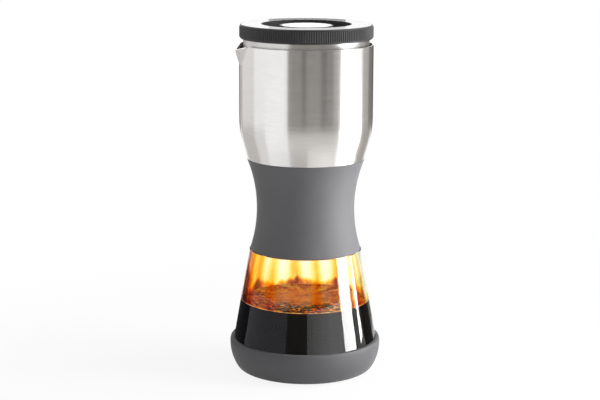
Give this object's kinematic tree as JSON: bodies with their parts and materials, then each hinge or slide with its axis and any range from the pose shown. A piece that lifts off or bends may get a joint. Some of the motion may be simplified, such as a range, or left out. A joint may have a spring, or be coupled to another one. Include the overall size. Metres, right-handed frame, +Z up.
{
  "type": "coffee steeper",
  "caption": "Two-chamber cold brew coffee maker: a steel brew chamber with a ribbed lid in a spouted steel shell, a silicone-sleeved waist and a flared glass carafe in a silicone boot.",
  "frame": {"origin": "centre of the flat foot of the boot, on the surface that the coffee maker stands on", "axes": "+Z up along the axis of the vessel, spout towards -X, X = Y = 0 on the axis"},
  "size_m": [0.1174, 0.1174, 0.27],
  "materials": {
    "boot_silicone": "matte moulded silicone",
    "sleeve_silicone": "matte moulded silicone",
    "carafe_glass": "clear borosilicate glass",
    "shell_steel": "brushed stainless steel",
    "chamber_steel": "satin stainless steel",
    "gasket_silicone": "translucent silicone",
    "neck_plastic": "moulded nylon",
    "valve_plastic": "moulded copolyester",
    "o_ring_rubber": "nitrile-free food rubber",
    "filter_steel": "etched stainless steel",
    "mesh_steel": "woven stainless mesh",
    "knob_plastic": "moulded plastic",
    "screw_steel": "machined stainless steel",
    "lid_plastic": "satin moulded plastic",
    "lid_disc_steel": "spun stainless steel",
    "liner_plastic": "moulded plastic"
  },
  "bodies": {
    "vessel": {"base_boot": "boot_silicone", "glass_carafe": "carafe_glass", "grip_sleeve": "sleeve_silicone", "outer_shell": "shell_steel", "neck_gasket": "gasket_silicone", "flange_gasket": "gasket_silicone", "split_ring": "neck_plastic", "neck_nut": "neck_plastic", "valve_cup": "valve_plastic"},
    "valve_plug": {"valve_plug": "valve_plastic", "plug_o_rings": "o_ring_rubber"},
    "brew_chamber": {"brew_chamber": "chamber_steel", "drain_collar": "valve_plastic", "chamber_seal": "o_ring_rubber", "floor_washer": "gasket_silicone", "drain_nut": "valve_plastic"},
    "filter_basket": {"filter_gasket": "gasket_silicone", "filter_frame": "knob_plastic", "fine_filter": "mesh_steel", "coarse_filter": "filter_steel", "filter_knob": "knob_plastic", "filter_screw": "screw_steel"},
    "lid": {"lid_cap": "lid_plastic", "lid_disc": "lid_disc_steel", "lid_liner": "liner_plastic", "lid_gasket": "gasket_silicone"}
  },
  "joints": [
    {"name": "valve_twist", "type": "hinge", "parent": "vessel", "child": "valve_plug", "pos_m": [0, 0, 0.13], "axis": [0, 0, 1], "range_deg": [0, 22.5]},
    {"name": "chamber_lift", "type": "slide", "parent": "valve_plug", "child": "brew_chamber", "axis": [0, 0, 1], "range_m": [0, 0.12]},
    {"name": "lid_lift", "type": "slide", "parent": "brew_chamber", "child": "lid", "axis": [0, 0, 1], "range_m": [0, 0.04]},
    {"name": "filter_lift", "type": "slide", "parent": "brew_chamber", "child": "filter_basket", "axis": [0, 0, 1], "range_m": [0, 0.06]}
  ]
}
